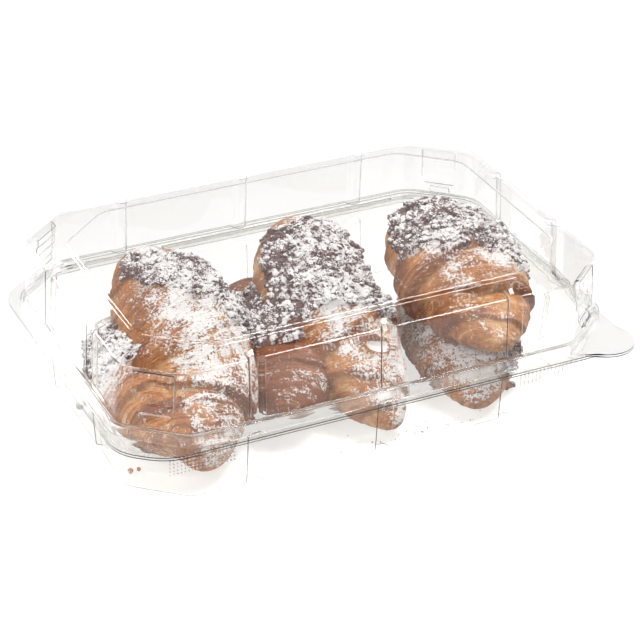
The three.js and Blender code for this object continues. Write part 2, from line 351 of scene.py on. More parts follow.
def between(first, last, fine):
    """The levels strictly between two, where the stretch lies within the fine heights."""
    if not fine or abs(first[1] - last[1]) < (fine[1] - fine[0]) / 2:
        return []
    count = int(np.linalg.norm((last - first)[:2]) / LEVEL_STEP)
    return [first + (last - first) * k / count for k in range(1, count)]


print("levels lie", LEVEL_STEP, "mm apart where the corner panels are")

# %% [markdown]
# The thumb tab is part of the lip: a round tongue at the front right corner. Rays from a point
# inside the corner find where the tongue's circle lies beyond the lip's edge, and the edge moves
# out to it. A separate tab joined on would leave a seam that the real, single sheet hasn't got.

# %% The thumb tab, and a shell through its levels
TAB_ROOT, TAB_CENTRE, TAB_RADIUS = np.array((104, -70)), np.array((129, -88)), 16
TAB_SOFT = 1.2  # rounds the inner corners where the tab leaves the lip
TAB_SHORT = 6  # where the circle ends more than this inside the lip, the lip stays as it is


def with_tab(points):
    """The outermost level, with the thumb tab drawn into it."""
    away = TAB_CENTRE - TAB_ROOT
    moved = points.copy()
    for i, point in enumerate(points):
        ray = point[:2] - TAB_ROOT
        length = np.linalg.norm(ray)
        ray = ray / length
        middle = np.dot(away, ray)
        inside = TAB_RADIUS**2 - (np.dot(away, away) - middle**2)
        if inside > 0:
            tab = middle + math.sqrt(inside)
            reach = TAB_SOFT * np.logaddexp(length / TAB_SOFT, tab / TAB_SOFT)
            moved[i, :2] = TAB_ROOT + ray * (reach if tab > length - TAB_SHORT else length)
    return moved


def formed_shell(name, stops, corner_press, fine):
    """The skin of one half of the box, through its levels."""
    rings = [outline(level, corner_press) for level in levels_through(stops, fine)]
    rings[-1] = with_tab(rings[-1])
    count = len(rings[0])
    faces = [tuple(range(count))] + [face[::-1] for face in tube_faces(len(rings), count)]
    return piece(name, np.concatenate(rings), faces, PLASTIC)


print("tab radius", TAB_RADIUS, "mm")

# %% [markdown]
# ## The lid
#
# From the middle outwards: a raised flat panel, a shoulder that slopes down in two planes, a
# grooved wall, a small ledge, a skirt that nests over the tray's rim, and the lip. In each cut
# corner the wall is pressed in as a little staircase, with a snap button standing out at its
# foot. The alternative, cutting these with booleans, would leave edges that no mould makes.

# %% The lid's shell
LID_STOPS = [
    # bend, reach, height, groove depth, rounding, extra chamfer
    (0, -40, 77.0, 0, 7, 11),
    (1.1, -17, 77.0, 0, 7, 11),
    (0.9, -15.6, 75.2, 0, 7, 11),
    (1.2, -7.5, 74.6, 1.6, 6, 5.5),
    (1.7, 0, 72.6, GROOVE_DEPTH, 5, 0),
    (0.9, 1.6, 40.2, GROOVE_DEPTH, 5, 0),
    (1.2, 4.6, 40.2, 0, 8, 0),
    (0.9, 4.6, 33.5, 0, 8, 0),
    (0, 8, 33.5, 0, 11, -12),
]
STAIRS = (64.5, 58.5, 52.5)  # heights of the steps in each corner panel
# Each pair says where a bend starts and ends: an edge's is measured from the panel's middle, a
# head's and a foot's from the table.
PANEL_EDGE, PANEL_HEAD, PANEL_FOOT = (9.4, 10.6), (68.8, 70), (47, 48)
STAIR_DEPTH = 0.85  # each step goes this far in
STAIR_RISE = 0.7  # each step is this high
BUTTON_EDGE, BUTTON_HEAD, BUTTON_FOOT = (5.2, 6.2), (44, 45), (41.1, 41.9)
BUTTON_REACH = 1.8  # how far the button stands out


def lid_corner(s, z):
    """Depth of the cut corner's stairs, and, as a negative depth, of its snap button."""
    panel = 1 - ease(abs(s), *PANEL_EDGE)
    depth = 4 * STAIR_DEPTH * (1 - ease(z, *PANEL_HEAD))
    depth -= sum(STAIR_DEPTH * (1 - ease(z, at - STAIR_RISE, at)) for at in STAIRS)
    depth -= STAIR_DEPTH * (1 - ease(z, *PANEL_FOOT))
    button = (1 - ease(abs(s), *BUTTON_EDGE)) * (1 - ease(z, *BUTTON_HEAD)) * ease(z, *BUTTON_FOOT)
    return panel * depth - BUTTON_REACH * button


print("stairs at", STAIRS, "mm")

# %% [markdown]
# The skin has no thickness yet. A Solidify modifier lays the sheet's other side inside it, and is
# made plain mesh at once. Light bends at both sides of a real sheet, so a skin alone would look
# like solid glass.

# %% Give the lid its sheet
SHEET = 0.5  # the sheet's thickness
SHARP_OVER = 40  # degrees: the cut edge of the sheet stays crisp, and its bends stay smooth
LID_WALL = (41, 71)  # heights between which the lid's levels lie close


def thicken(obj, thickness):
    """Gives a formed sheet its thickness, on its inner side."""
    wall = obj.modifiers.new("sheet", "SOLIDIFY")
    wall.thickness = thickness * MM
    wall.offset = -1
    wall.use_even_offset = True
    finished(obj)
    obj.data.set_sharp_from_angle(angle=math.radians(SHARP_OVER))
    return obj


lid = formed_shell("lid_shell", LID_STOPS, lid_corner, LID_WALL)
thicken(lid, SHEET)
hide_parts("lid")
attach(lid, "lid")
print("lid:", len(lid.data.polygons), "faces")

# %% [markdown]
# ## The tray
#
# The tray's sheet starts as a floor that stands on a shallow foot round its edge, rises in
# leaning, grooved walls, and ends in a rolled rim and a flat lip with the same thumb tab. Faint
# ledges under the lip in the cut corners keep stacked trays from jamming together.

# %% The tray's shell
TRAY_STOPS = [
    (0, -40, 1.0, 0, 5, 14),
    (0.8, -17, 1.0, 0, 5, 0),
    (0.8, -15.4, 0.0, 0, 5, 0),
    (1.5, -2.6, 0.0, GROOVE_DEPTH, 5, 0),
    (1.2, -0.6, 28.5, GROOVE_DEPTH, 5, 0),
    (0.9, -0.3, 31.0, 0, 5, 0),
    (1.3, 0.0, 38.5, 0, 5, 0),
    (1.3, 2.9, 38.5, 0, 8, 0),
    (0.9, 2.9, 31.6, 0, 8, 0),
    (0, 8, 31.6, 0, 11, -12),
]
TRAY_WALL = (2, 30)  # heights between which the tray's levels lie close
LEDGES = (26, 22.5, 19)  # heights of the ledges in each corner panel
LEDGE_EDGE, LEDGE_HEAD = (8.4, 9.6), (27.5, 28.5)
LEDGE_PRESS, LEDGE_DEPTH, LEDGE_RISE = 1.4, 0.45, 0.9


def tray_corner(s, z):
    """Depth of the faint ledges in the tray's cut corners."""
    panel, below = 1 - ease(abs(s), *LEDGE_EDGE), 1 - ease(z, *LEDGE_HEAD)
    depth = LEDGE_PRESS * below
    depth -= sum(LEDGE_DEPTH * (1 - ease(z, at - LEDGE_RISE, at)) for at in LEDGES)
    return panel * max(depth, 0)


tray = formed_shell("tray_shell", TRAY_STOPS, tray_corner, TRAY_WALL)
# From its floor the tray's levels run up, not down, so its skin has to be turned to face outwards.
tray.data.flip_normals()
thicken(tray, SHEET)
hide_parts("tray")
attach(tray, "tray")
print("tray:", len(tray.data.polygons), "faces")

# %% [markdown]
# ## The hinge
#
# The two lips are one sheet, creased along the back. The crease is a narrow film that bends as
# the lid opens, so it is a piece of its own, made here as it lies with the lid shut. A rigid
# hinge would be wrong here: nothing turns on a pin.

# %% The hinge film
HINGE_Z = frame["joints"][0]["pos_m"][2] / MM  # height of the fold
FILM_HALF = 100  # half its length
LIP_EDGE = BOX_WIDTH / 2 + 8
FILM_START = LIP_EDGE - 0.2  # the film starts this far from the box's middle line
FILM_OUTER, FILM_INNER = (1.9, 0.75), (1.6, 0.45)  # half axes of the oval fold, outside and inside
FOLD_STEPS, FILM_STEPS = 15, 41  # points round the fold, and rings along the film


def hinge_film():
    """A half-round fold, drawn out along the back edge and closed at both ends."""
    turns = [math.radians(a) for a in np.linspace(-90, 90, FOLD_STEPS)]
    outer, inner = ([(FILM_START + wide * math.cos(a), HINGE_Z + tall * math.sin(a)) for a in turns]
                    for wide, tall in (FILM_OUTER, FILM_INNER))
    section = outer + inner[::-1]
    xs = np.linspace(-FILM_HALF, FILM_HALF, FILM_STEPS)
    points = [(x, y, z) for x in xs for y, z in section]
    count = len(section)
    faces = tube_faces(len(xs), count)
    half = count // 2
    for base in (0, (len(xs) - 1) * count):
        faces += [(base + k, base + k + 1, base + count - 2 - k, base + count - 1 - k)
                  for k in range(half - 1)]
    obj = piece("hinge_film", points, faces, PLASTIC)
    outwards(obj.data)
    return obj


film = hinge_film()
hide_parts("hinge_strip")
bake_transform(film)
print("hinge film:", len(film.data.polygons), "faces")

# %% [markdown]
# ## Shared surface effects
#
# Two effects turn up on the crust, the topping and the loose crumbs alike, so each is a node
# group, built once. Icing sugar lies where its painted amount is high, but it breaks up into
# grains and clumps at its edge. Baked dough is never one brown: it is mottled at several sizes.

# %% Node groups: icing sugar and baked mottling
def new_group(name, inputs, outputs):
    """An empty node group with float inputs and outputs."""
    tree = bpy.data.node_groups.new(name, "ShaderNodeTree")
    for label, value in inputs.items():
        socket = tree.interface.new_socket(label, in_out="INPUT", socket_type="NodeSocketFloat")
        socket.default_value = value
    for label in outputs:
        tree.interface.new_socket(label, in_out="OUTPUT", socket_type="NodeSocketFloat")
    return tree, tree.nodes.new("NodeGroupInput"), tree.nodes.new("NodeGroupOutput")


def swing(tree, value, width):
    """A noise of 0 to 1, widened and moved so that its middle is 0."""
    return scaled_plus(tree, value, width, -width / 2)


SUGAR_EDGE = (0.36, 0.66)  # levels between which sugar goes from none to a full cover
SUGAR_FULL = 0.94  # a full cover still lets a little of the crust's colour through


def sugar_group():
    """Where sugar covers, and how high it stands."""
    tree, given, result = new_group("icing sugar", {"Amount": 0.5, "Grain": 800.0}, ("Cover", "Relief"))
    clumps = object_noise(tree, 150, detail=4, roughness=0.7)
    grains = object_noise(tree, given.outputs["Grain"], detail=2.0, roughness=0.75)
    uneven = maths(tree, "ADD", swing(tree, clumps, 2.0), swing(tree, grains, 2.4))
    level = maths(tree, "ADD", given.outputs["Amount"], uneven)
    cover = scaled(tree, step_up(tree, level, *SUGAR_EDGE), SUGAR_FULL)
    relief = maths(tree, "MULTIPLY", cover, scaled_plus(tree, grains, 0.8, 0.6))
    tree.links.new(cover, result.inputs["Cover"])
    tree.links.new(relief, result.inputs["Relief"])
    return tree


def mottle_group():
    """A tone from wide and fine patches."""
    tree, given, result = new_group("baked mottling", {"Wide": 70.0, "Fine": 420.0}, ("Tone",))
    wide = object_noise(tree, given.outputs["Wide"], roughness=0.55)
    fine = object_noise(tree, given.outputs["Fine"], roughness=0.65)
    both = maths(tree, "ADD", scaled(tree, wide, 0.6), scaled(tree, fine, 0.4))
    tree.links.new(step_up(tree, both, 0.33, 0.67), result.inputs["Tone"])
    return tree


SUGAR, MOTTLE = sugar_group(), mottle_group()
print("groups:", SUGAR.name, "and", MOTTLE.name)

# %% [markdown]
# ## Crust and crumbs
#
# The crust reads five painted values: how toasted it is, how much painted shade darkens the slits
# under the roll's edges, how much sugar fell on it, where the topping lies, and how far along the
# roll it is. Painting them on the points keeps colour and shape together: the same rule that raises
# a layer's edge also browns it, and paints shade into the slit past it.

# %% Materials: crust and crumbs
PALE = (0.66, 0.38, 0.17, 1)
GOLDEN = (0.48, 0.18, 0.042, 1)
TOASTED = (0.235, 0.068, 0.017, 1)
# The darkest brown is painted shade, laid in the slits under the roll's edges.
FOLD_SHADE = (0.065, 0.022, 0.011, 1)
COCOA_DARK = (0.062, 0.029, 0.031, 1)
COCOA_LIGHT = (0.21, 0.108, 0.103, 1)
ICING = (0.88, 0.86, 0.86, 1)
UNEVEN_MIDDLE = 1.33  # taken off the crust's noises together, so that toast sets how brown it is


STREAK_WIDTH = 70.0  # patches a metre across the roll, where along it there is one a millimetre


def grouped(tree, group, **values):
    """A node that uses a group, its inputs filled by name."""
    return add(tree, "ShaderNodeGroup", values, node_tree=group)


def streaks(tree, along):
    """Fine streaks that follow the roll's edges, from the painted distance along the roll."""
    place = add(tree, "ShaderNodeTexCoord").outputs["Object"]
    split = add(tree, "ShaderNodeSeparateXYZ", {0: place}).outputs
    across = [scaled(tree, split[axis], STREAK_WIDTH) for axis in ("X", "Z")]
    vector = add(tree, "ShaderNodeCombineXYZ", {0: along, 1: across[0], 2: across[1]})
    node = add(tree, "ShaderNodeTexNoise",
               {"Vector": vector.outputs[0], "Scale": 1.0, "Detail": 3.0, "Roughness": 0.6})
    return node.outputs["Fac"]


def crust():
    """Baked dough, with painted shade in its slits, and topping and sugar where they are painted."""
    material, tree = new_material("baked crust")
    toast, fold_shade = painted(tree, "toast"), painted(tree, "fold_shade")
    topping, sugar = painted(tree, "topping"), painted(tree, "sugar")
    tone = grouped(tree, MOTTLE).outputs["Tone"]
    streak = streaks(tree, painted(tree, "along"))
    crackle = object_noise(tree, 900, detail=3, roughness=0.75)
    uneven = maths(tree, "ADD", scaled(tree, tone, 0.6), scaled(tree, streak, 1.2))
    uneven = scaled_plus(tree, crackle, 0.9, uneven)
    browned = maths(tree, "ADD", uneven, maths(tree, "ADD", toast, -UNEVEN_MIDDLE), clamp=True)
    light = blended(tree, step_up(tree, browned, 0.0, 0.45), PALE, GOLDEN)
    dough = blended(tree, step_up(tree, browned, 0.4, 0.95), light, TOASTED)
    # Painted shade: the slits under the roll's edges are darkened towards the darkest brown.
    dough = blended(tree, fold_shade, dough, FOLD_SHADE)
    speckle = grouped(tree, MOTTLE, Wide=260.0, Fine=900.0).outputs["Tone"]
    cocoa = blended(tree, speckle, COCOA_DARK, COCOA_LIGHT)
    bare = blended(tree, topping, dough, cocoa)
    laid = scaled_plus(tree, streak, -0.7, maths(tree, "ADD", sugar, 0.35))
    dust = grouped(tree, SUGAR, Amount=laid)
    colour = blended(tree, dust.outputs["Cover"], bare, ICING)
    flakes = object_noise(tree, 620, detail=4, roughness=0.7)
    height = maths(tree, "ADD", scaled(tree, flakes, 0.7), dust.outputs["Relief"])
    height = scaled_plus(tree, crackle, 0.8, scaled_plus(tree, streak, 1.8, height))
    bump = add(tree, "ShaderNodeBump", {"Height": height, "Strength": 0.75, "Distance": 0.0007})
    rough = scaled_plus(tree, dust.outputs["Cover"], 0.4, 0.46)
    surface = add(tree, "ShaderNodeBsdfPrincipled",
                  {"Base Color": colour, "Roughness": rough, "Normal": bump.outputs[0]})
    surfaced(tree, surface)
    return material


def cocoa_crumb():
    """Dark crumb, sugared most on the faces that look up."""
    material, tree = new_material("cocoa crumb")
    tone = grouped(tree, MOTTLE, Wide=300.0, Fine=1100.0).outputs["Tone"]
    facing = add(tree, "ShaderNodeNewGeometry").outputs["Normal"]
    upwards = add(tree, "ShaderNodeSeparateXYZ", {0: facing}).outputs["Z"]
    drift = object_noise(tree, 75, detail=2)
    amount = scaled_plus(tree, upwards, 0.55, scaled_plus(tree, drift, 2.0, -0.76))
    dust = grouped(tree, SUGAR, Amount=amount, Grain=1300.0)
    colour = blended(tree, dust.outputs["Cover"], blended(tree, tone, COCOA_DARK, COCOA_LIGHT), ICING)
    bump = add(tree, "ShaderNodeBump",
               {"Height": dust.outputs["Relief"], "Strength": 0.5, "Distance": 0.0004})
    surface = add(tree, "ShaderNodeBsdfPrincipled",
                  {"Base Color": colour, "Roughness": scaled_plus(tree, tone, 0.2, 0.7),
                   "Normal": bump.outputs[0]})
    surfaced(tree, surface)
    return material


CRUST, CRUMB = crust(), cocoa_crumb()
print("materials:", CRUST.name, "and", CRUMB.name)

# %% [markdown]
# ## The croissants
#
# A croissant is a long triangle of layered dough, rolled from its wide end. Each turn of the
# roll ends in an edge that runs round the pastry at a slant, so towards both tips the body steps
# down over one edge after another. The shape is therefore a rule: a fat spindle, plus edges that
# stand proud on their inner side and cast a shadow on their outer side, plus blisters and fine
# flakes that follow the edges. Sculpting six by hand would take days and could not be repeated.

# %% What each croissant is like
# back and front are the ends' centres, bow the bend to the right, taper the share of its width
# and height that the front end loses, and edges the roll's edges: place along the pastry, slant,
# direction of the slant, height. Angles run from the crest to the right, in degrees. A topping
# lies between left and right, and from and to along it; its front edge runs on by lead for each
# right angle to the right. Sugar is the amount, the lean of its fall, and the share at the front.
# Brown is how dark the crust is, where it isn't as usual; on the bottom middle croissant it is
# painted shade, for the shadow it lies in under the upper ones. Curl is a round edge with sugar in
# its pit: its place along the pastry, its angle and its radius.
CROISSANTS = {
    "bottom_left": dict(
        back=(-95, 44, 23), front=(-103, -78, 22), bow=0, taper=0.1, width=54, height=42,
        topping=(-75, 20, 0.15, 0.55), lead=0.0, sugar=(0.74, -25, 0.12), seed=11,
        edges=[(0.30, 0.04, 60, 1.6), (0.66, 0.05, -40, 2.4), (0.84, 0.03, 20, 1.8)]),
    "bottom_middle": dict(
        back=(-12, 53, 23), front=(-38, -70, 23), bow=0, taper=0.1, width=58, height=42,
        # Painted shade: this croissant lies in the upper ones' shadow, so brown draws its crust darker;
        # its wide topping and thin sugar darken it too, partly its own and partly painted shade.
        topping=(-62, 60, 0.3, 0.72), lead=0.0, sugar=(0.26, 0, 0.7), seed=22, brown=0.95,
        edges=[(0.25, 0.05, 90, 1.8), (0.6, 0.05, -60, 2.2), (0.8, 0.04, 30, 1.8)]),
    "bottom_right": dict(
        back=(100, 46, 22), front=(57, -88, 10), bow=0, taper=0.4, width=60, height=42,
        topping=(40, 100, 0.4, 0.85), lead=0.0, sugar=(0.95, -8, 0.85), seed=33,
        edges=[(0.3, 0.05, 50, 1.8), (0.52, 0.06, -50, 2.2), (0.66, 0.05, 40, 2.4),
               (0.8, 0.04, 0, 2.0)]),
    "top_left": dict(
        back=(-70, 62, 54), front=(-95, -88, 13), bow=7, taper=0.35, width=66, height=50,
        topping=(-48, 74, 0.1, 0.36), lead=0.28, sugar=(0.76, 34, 0.74), seed=44,
        edges=[(0.17, 0.03, -60, 1.8), (0.43, 0.12, -75, 3.0), (0.56, 0.10, -80, 2.2),
               (0.735, 0.07, 70, 4.2), (0.88, 0.03, 0, 1.8)]),
    "top_middle": dict(
        back=(18, 62, 54), front=(8, -88, 9), bow=-9, taper=0.5, width=68, height=50,
        topping=(-58, 58, 0.1, 0.58), lead=0.04, sugar=(0.8, 38, 0.85), seed=55, curl=(0.74, 18, 5.0),
        edges=[(0.1, 0.03, -60, 1.8), (0.5, 0.06, -80, 2.4), (0.64, 0.09, -70, 3.0),
               (0.82, 0.05, 70, 3.2), (0.93, 0.02, 0, 1.4)]),
    "top_right": dict(
        back=(91, 50, 51), front=(70, -87, 40), bow=0, taper=0.5, width=68, height=42,
        topping=(-62, 88, 0.06, 0.52), lead=0.07, sugar=(0.66, 20, 0.5), seed=66,
        edges=[(0.22, 0.07, -100, 2.6), (0.38, 0.09, -90, 3.0), (0.52, 0.10, -80, 3.4),
               (0.70, 0.06, 35, 4.6), (0.85, 0.05, 60, 2.8)]),
}
FLOOR_TOP, FRONT_STOP = 1.6, -84.6  # the tray's floor and front wall stop the dough here
PRESS = 2.0  # how far from the front wall a tip starts to flatten
RINGS, SPOKES = 260, 200
TAPER_FROM, TAPER_POWER = 0.45, 2.2  # where the front's taper starts, and how it goes on


def fullness(t, taper):
    """How full the roll is at t along it: 0 at the tips, 1 in the middle, thinner to the front."""
    beyond = np.maximum(0, (t - TAPER_FROM) / (1 - TAPER_FROM))
    return (1 - np.abs(2 * t - 1) ** 2.4) ** 0.54 * (1 - taper * beyond ** TAPER_POWER)


def axes_of(look):
    """Ends and cross directions of one croissant: back, front, right and crest."""
    back, front = np.array(look["back"], float), np.array(look["front"], float)
    forward = (front - back) / np.linalg.norm(front - back)
    right = np.cross((0, 0, 1), forward)
    right /= np.linalg.norm(right)
    return back, front, right, np.cross(forward, right)


NOISES = {
    # name: patches a millimetre, and what is added to the croissant's seed. The flakes' points
    # are already scaled, so theirs is 1.
    "wide": (0.035, 0), "blister": (0.13, 1), "wander": (0.05, 2), "flake": (1.0, 3),
    "ragged": (0.10, 4), "chunk": (0.17, 5), "drift": (0.05, 6), "fine wander": (0.21, 7),
    "layered": (0.045, 8),
}


def noise_on(points, kind, look):
    """Smooth noise from -1 to 1 at each point, of one of the kinds above."""
    scale, more = NOISES[kind]
    seed = look["seed"] + more
    shift = Vector((seed * 7.31, seed * 3.17, seed * 1.93))
    values = [noise.noise(Vector(p) * scale + shift) for p in points.reshape(-1, 3)]
    return np.array(values).reshape(points.shape[:-1])


print("croissants to bake:", ", ".join(CROISSANTS))

# %% [markdown]
# A croissant is baked as a grid of rings and spokes. Most sums work on whole arrays at once, so a
# fine grid takes about a second. Every effect adds to a height along the outward direction, and
# paints the value that the crust material reads.

# %% The layers of the roll
TERRACE = 5.2  # distance between the fine layers' edges
EDGE_SOFT = (-0.6, 0.7)  # the drop at a roll edge starts and ends this far from its line


def fading(distance, reach):
    """1 at no distance, and less and less over reach millimetres and on."""
    return np.exp(-np.abs(distance) / reach)


def slanted(t, angle, look):
    """How far the roll's edges lean forward or back round the pastry, as a share of its length."""
    weights = [np.exp(-((t - edge[0]) / 0.13) ** 2) + 1e-3 for edge in look["edges"]]
    leans = [edge[1] * np.cos(angle - math.radians(edge[2])) for edge in look["edges"]]
    return sum(w * lean for w, lean in zip(weights, leans)) / sum(weights)


def roll_edge(t, angle, edge, length, wander):
    """Height, toast and the painted shade of its slit that one edge of the roll adds."""
    at, slant, towards, tall = edge
    line = at + slant * np.cos(angle - math.radians(towards)) + wander
    beyond = (t - line) * length * (1 if at > 0.5 else -1)  # millimetres past it, to the near tip
    past = ease(beyond, *EDGE_SOFT)
    fade = 0.6 + 0.4 * np.cos(angle - math.radians(towards)) ** 2
    rise = 0.6 * fading(beyond, 13) * (1 - past) - 0.75 * fading(beyond, 7) * past
    brown = 0.36 * fading(beyond, 3.5) * (1 - past) - 0.2 * fading(beyond, 8) * past
    # Painted shade: the slit just past an edge is painted dark, for the shadow that the edge casts in
    # it.
    slit_shade = past * fading(np.maximum(beyond, 0), 1.5) * min(1, tall / 3)
    return fade * tall * rise, brown, 0.85 * fade * slit_shade


def fine_layers(t, along, presence):
    """Small terraces: a ramp that ends in a lip, facing the nearer tip."""
    turn = along / TERRACE
    ramp = turn - np.floor(turn)
    ramp = np.where(t > 0.5, ramp, 1 - ramp)
    return ramp * presence * ease(np.abs(t - 0.5), 0.0, 0.06)


print("fine layers every", TERRACE, "mm")

# %% The plain roll
def plain_roll(look):
    """A croissant's grid before anything stands out from it: a fat, bowed spindle."""
    back, front, right, crest = axes_of(look)
    share = (np.arange(RINGS) + 1) / (RINGS + 1)
    t = np.repeat((0.5 - 0.5 * np.cos(np.pi * share))[:, None], SPOKES, axis=1)
    angle = np.repeat((2 * np.pi * np.arange(SPOKES) / SPOKES)[None, :], RINGS, axis=0)
    sine, cosine = np.sin(angle)[..., None], np.cos(angle)[..., None]
    bow = right * (look["bow"] * np.sin(np.pi * t))[..., None]
    spine = back + (front - back) * t[..., None] + bow
    outward = right * sine * look["width"] / 2 + crest * cosine * look["height"] / 2
    plain = spine + outward * fullness(t, look["taper"])[..., None]
    return t, angle, plain, outward / np.linalg.norm(outward, axis=-1, keepdims=True)


print(RINGS, "rings, which crowd towards both tips, of", SPOKES, "points")

# %% The crust
RISE = dict(wide=1.7, blister=0.7, terrace=0.95, flake=0.9)  # millimetres
TOAST = dict(usual=0.54, wide=0.34, blister=0.2, terrace=0.30, flake=0.25)
TERRACE_PALE = 0.06  # taken off all over, to make up for what the terraces' lips brown
STRAND = 0.36  # the flakes' patches a millimetre along the roll


def crust_of(look, t, angle, plain, length):
    """Height, toast, painted slit shade and the distance along the roll, then the flakes and the
    terraces.
    """
    wide, blister = noise_on(plain, "wide", look), noise_on(plain, "blister", look)
    wander = 0.022 * noise_on(plain, "wander", look) + 0.007 * noise_on(plain, "fine wander", look)
    height = RISE["wide"] * wide + RISE["blister"] * blister
    # A look's own brown, set only on the bottom middle croissant, is painted shade for the shadow it
    # lies in.
    toast = look.get("brown", TOAST["usual"]) + TOAST["wide"] * wide + TOAST["blister"] * blister
    # This value is painted shade: how dark the slits under the edges are drawn.
    fold_shade = np.zeros_like(t)
    for edge in look["edges"]:
        rise, brown, slit_shade = roll_edge(t, angle, edge, length, wander)
        height += rise
        toast += brown
        fold_shade = np.maximum(fold_shade, slit_shade)
    along = (t - slanted(t, angle, look) - wander) * length
    terrace = fine_layers(t, along, ease(noise_on(plain, "layered", look), -0.35, 0.25))
    height += RISE["terrace"] * terrace
    toast += TOAST["terrace"] * terrace ** 2 - TERRACE_PALE
    # Flakes: thin ridges that run round the roll, along its edges.
    strands = np.stack([along * STRAND, np.sin(angle) * 1.5, np.cos(angle) * 1.5], axis=-1)
    flake = noise_on(strands, "flake", look)
    height += RISE["flake"] * np.abs(flake)
    toast += TOAST["flake"] * flake
    return height, toast, fold_shade, along, flake, terrace


print("the crust's effects, in millimetres:", RISE)

# %% Topping and sugar
RAGGED = 13  # how far the topping's edge strays, in degrees round the roll
RAGGED_ENDS = 0.6  # millimetres along the roll for each of those degrees
TOPPING_RISE = dict(bed=1.6, chunk=2.2, blister=0.7)  # millimetres


def topping_of(look, t, turned, plain, length):
    """Where the topping lies, from 0 to 1, and how high."""
    left, rightmost, first, last = look["topping"]
    last = last + look["lead"] * turned / 90
    ragged = RAGGED * noise_on(plain, "ragged", look)
    topping = ease(turned - left + ragged, -5, 5) * ease(rightmost - turned + ragged, -5, 5)
    ends = ragged * RAGGED_ENDS
    topping *= ease((t - first) * length + ends, -2, 2) * ease((last - t) * length + ends, -2, 2)
    chunk, blister = noise_on(plain, "chunk", look), noise_on(plain, "blister", look)
    lumps = TOPPING_RISE["bed"] + TOPPING_RISE["chunk"] * chunk + TOPPING_RISE["blister"] * blister
    return topping, topping * lumps


def sugar_of(look, t, direction, plain, fold_shade, flake, terrace):
    """How much sugar fell on each point. It falls at a lean, and misses folds and flakes."""
    amount, lean, tip = look["sugar"]
    right = axes_of(look)[2]
    facing = direction @ np.array((0, 0, 1.0)) * math.cos(math.radians(lean))
    facing = facing + direction @ right * math.sin(math.radians(lean))
    drift = noise_on(plain, "drift", look)
    sugar = amount * ease(facing, -0.3, 0.8) * (1 - (1 - tip) * ease(t, 0.5, 0.75))
    sugar += 0.3 * drift * ease(facing, -0.3, 0.3) - 0.7 * fold_shade
    sugar -= 0.15 * np.abs(flake) + 0.32 * terrace ** 3
    return sugar


def curl_of(look, t, turned, full, length):
    """The ring and the pit of a curl, where the croissant has one."""
    at, place, radius = look["curl"]
    round_it = np.radians(turned - place) * look["height"] / 2 * full
    away = np.hypot((t - at) * length, round_it)
    return np.exp(-((away - radius) / 1.3) ** 2), 1 - ease(away, radius * 0.5, radius)


print("the topping's edge strays within about", RAGGED, "degrees")

# %% Shape and paint of one croissant
CURL_RISE = 1.8  # millimetres
PAINT_LIMIT = 1.2  # toast, fold, topping and sugar are painted from 0 to this


def bake(look):
    """The grid of points of one croissant, and its painted values."""
    back, front = axes_of(look)[:2]
    length = np.linalg.norm(front - back)
    t, angle, plain, direction = plain_roll(look)
    full = fullness(t, look["taper"])
    height, toast, fold_shade, along, flake, terrace = crust_of(look, t, angle, plain, length)
    turned = np.degrees((angle + np.pi) % (2 * np.pi) - np.pi)
    topping, rise = topping_of(look, t, turned, plain, length)
    height += rise
    sugar = sugar_of(look, t, direction, plain, fold_shade, flake, terrace)
    if "curl" in look:
        ring, pit = curl_of(look, t, turned, full, length)
        height += CURL_RISE * ring - CURL_RISE * pit
        toast += 0.4 * ring
        sugar += 0.9 * pit - 0.4 * ring
    points = plain + direction * (height * np.minimum(1, full * 1.4))[..., None]
    painted_on = dict(toast=toast, fold_shade=fold_shade, topping=topping, sugar=sugar)
    paint = {name: np.clip(value, 0, PAINT_LIMIT) for name, value in painted_on.items()}
    return points, {**paint, "along": along}


def make_room(points, upper, gap=0.6):
    """Presses a lower croissant's points out of the space that an upper one holds."""
    back, front, right, crest = axes_of(upper)
    along = front - back
    t = np.clip((points - back) @ along / (along @ along), 0.001, 0.999)
    spine = back + along * t[..., None] + right * (upper["bow"] * np.sin(np.pi * t))[..., None]
    aside, above = (points - spine) @ right, (points - spine) @ crest
    full = fullness(t, upper["taper"])
    across, tall = upper["width"] / 2 * full + gap, upper["height"] / 2 * full + gap
    inside = np.hypot(aside / across, above / tall)
    drop = np.where(inside < 1, -tall * np.sqrt(np.maximum(1 - (aside / across) ** 2, 0)) - above, 0)
    return points + crest * np.minimum(drop, 0)[..., None]


print("one croissant has", RINGS * SPOKES, "points")

# %% [markdown]
# The lower croissants are pressed out of the upper ones' plain shape, and all six out of the
# tray's floor and front wall, as soft pastry gives way. A croissant of its own full shape would
# cut far into its neighbours. The grid becomes one closed skin when its first and last rings are
# each drawn together to a point.

# %% Bake all six
def lay_values(mesh, label, values):
    """Lays a value on each point of a mesh, for its material to read."""
    layer = mesh.attributes.new(label, "FLOAT", "POINT")
    layer.data.foreach_set("value", values.astype(np.float32))


def skin_of(name, points, paint, material):
    """A closed mesh through the grid, with its painted values."""
    poles = [points[0].mean(axis=0), points[-1].mean(axis=0)]
    flat = np.concatenate([points.reshape(-1, 3), poles])
    faces = tube_faces(RINGS, SPOKES)
    first, last, end = RINGS * SPOKES, RINGS * SPOKES + 1, (RINGS - 1) * SPOKES
    for j in range(SPOKES):
        k = (j + 1) % SPOKES
        faces += [(first, k, j), (last, end + j, end + k)]
    obj = piece(name, flat, faces, material)
    for label, values in paint.items():
        ends = [values[0].mean(), values[-1].mean()]
        lay_values(obj.data, label, np.concatenate([values.reshape(-1), ends]))
    outwards(obj.data)
    return obj


